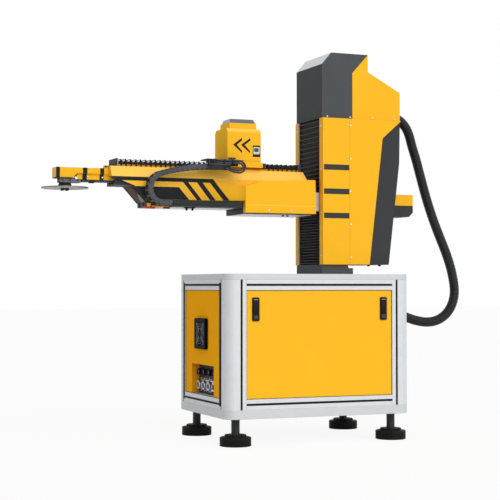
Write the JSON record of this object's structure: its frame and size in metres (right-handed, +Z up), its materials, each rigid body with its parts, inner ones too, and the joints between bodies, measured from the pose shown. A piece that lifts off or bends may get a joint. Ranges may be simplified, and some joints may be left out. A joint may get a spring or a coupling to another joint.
{
  "type": "stamping robot",
  "caption": "Pick-and-place robot for press lines: a telescopic arm with a tool disc that rides up and down a column on a levelled cabinet.",
  "frame": {"origin": "on the floor, below the middle of the box round the whole machine without its hose", "axes": "+Z up, +X along the arm from the tool towards the column, +Y from the front of the cabinet to its back"},
  "size_m": [1.793, 0.552, 1.531],
  "materials": {
    "aluminium": "satin anodised, pale silver",
    "yellow_paint": "smooth powder coat, warm yellow",
    "charcoal_paint": "satin powder coat, dark grey",
    "black_plastic": "moulded, matte black",
    "black_rubber": "matte black",
    "black_metal": "blackened steel",
    "bellows_fabric": "coated black bellows cloth",
    "steel": "ground and brushed",
    "grey_plastic": "moulded, mid grey"
  },
  "bodies": {
    "frame": {"bottom_plate": "aluminium", "top_plate": "aluminium", "corner_posts": "aluminium", "rails": "aluminium", "front_panel": "yellow_paint", "rear_panel": "yellow_paint", "left_panel": "yellow_paint", "right_panel": "yellow_paint", "latches": "black_plastic", "fan_guard": "black_plastic", "connector_bay": "yellow_paint", "upper_connectors": "black_plastic", "lower_connectors": "steel", "foot_pads": "black_rubber", "foot_studs": "black_metal", "pedestal": "charcoal_paint", "column_frame": "charcoal_paint", "guide_rails": "steel", "side_cover_front": "yellow_paint", "side_cover_rear": "yellow_paint", "column_cap": "charcoal_paint", "rear_cover_upper": "yellow_paint", "rear_cover_lower": "charcoal_paint", "column_bellows_upper": "bellows_fabric", "column_bellows_lower": "bellows_fabric", "hose": "black_plastic", "hose_glands": "black_plastic"},
    "lift": {"carriage": "aluminium", "housing_front": "yellow_paint", "housing_rear": "yellow_paint", "lift_tray": "charcoal_paint", "beam_shell": "yellow_paint", "beam_base": "charcoal_paint", "beam_nose": "charcoal_paint", "beam_tail_top": "yellow_paint", "beam_tail_base": "charcoal_paint", "chain_tray": "charcoal_paint", "bellows_end_plates": "charcoal_paint"},
    "arm": {"bellows_frame": "charcoal_paint", "arm_bellows_front": "bellows_fabric", "arm_bellows_rear": "bellows_fabric", "motor_box": "yellow_paint", "motor_cap": "grey_plastic", "display": "grey_plastic", "chain_bracket": "charcoal_paint", "cable_loop": "black_plastic", "forearm": "yellow_paint", "forearm_strip": "charcoal_paint", "tool_bracket": "steel", "tool_hub": "black_plastic"},
    "chain": {"drag_chain": "black_plastic"},
    "tool": {"tool_disc": "steel"}
  },
  "joints": [
    {"name": "lift_travel", "type": "slide", "parent": "frame", "child": "lift", "axis": [0, 0, 1], "range_m": [-0.12, 0.14], "deforming": ["column_bellows_upper", "column_bellows_lower"]},
    {"name": "arm_traverse", "type": "slide", "parent": "lift", "child": "arm", "axis": [-1, 0, 0], "range_m": [-0.03, 0.28], "deforming": ["arm_bellows_front", "arm_bellows_rear"]},
    {"name": "chain_travel", "type": "slide", "parent": "lift", "child": "chain", "axis": [-1, 0, 0], "range_m": [-0.015, 0.14]},
    {"name": "tool_spin", "type": "hinge", "parent": "arm", "child": "tool", "pos_m": [-0.685, 0, 0.97], "axis": [0, 0, 1], "range_deg": [-180, 180]}
  ],
  "couplings": [
    {"joint": "chain_travel", "follows": "arm_traverse", "ratio": 0.5}
  ]
}
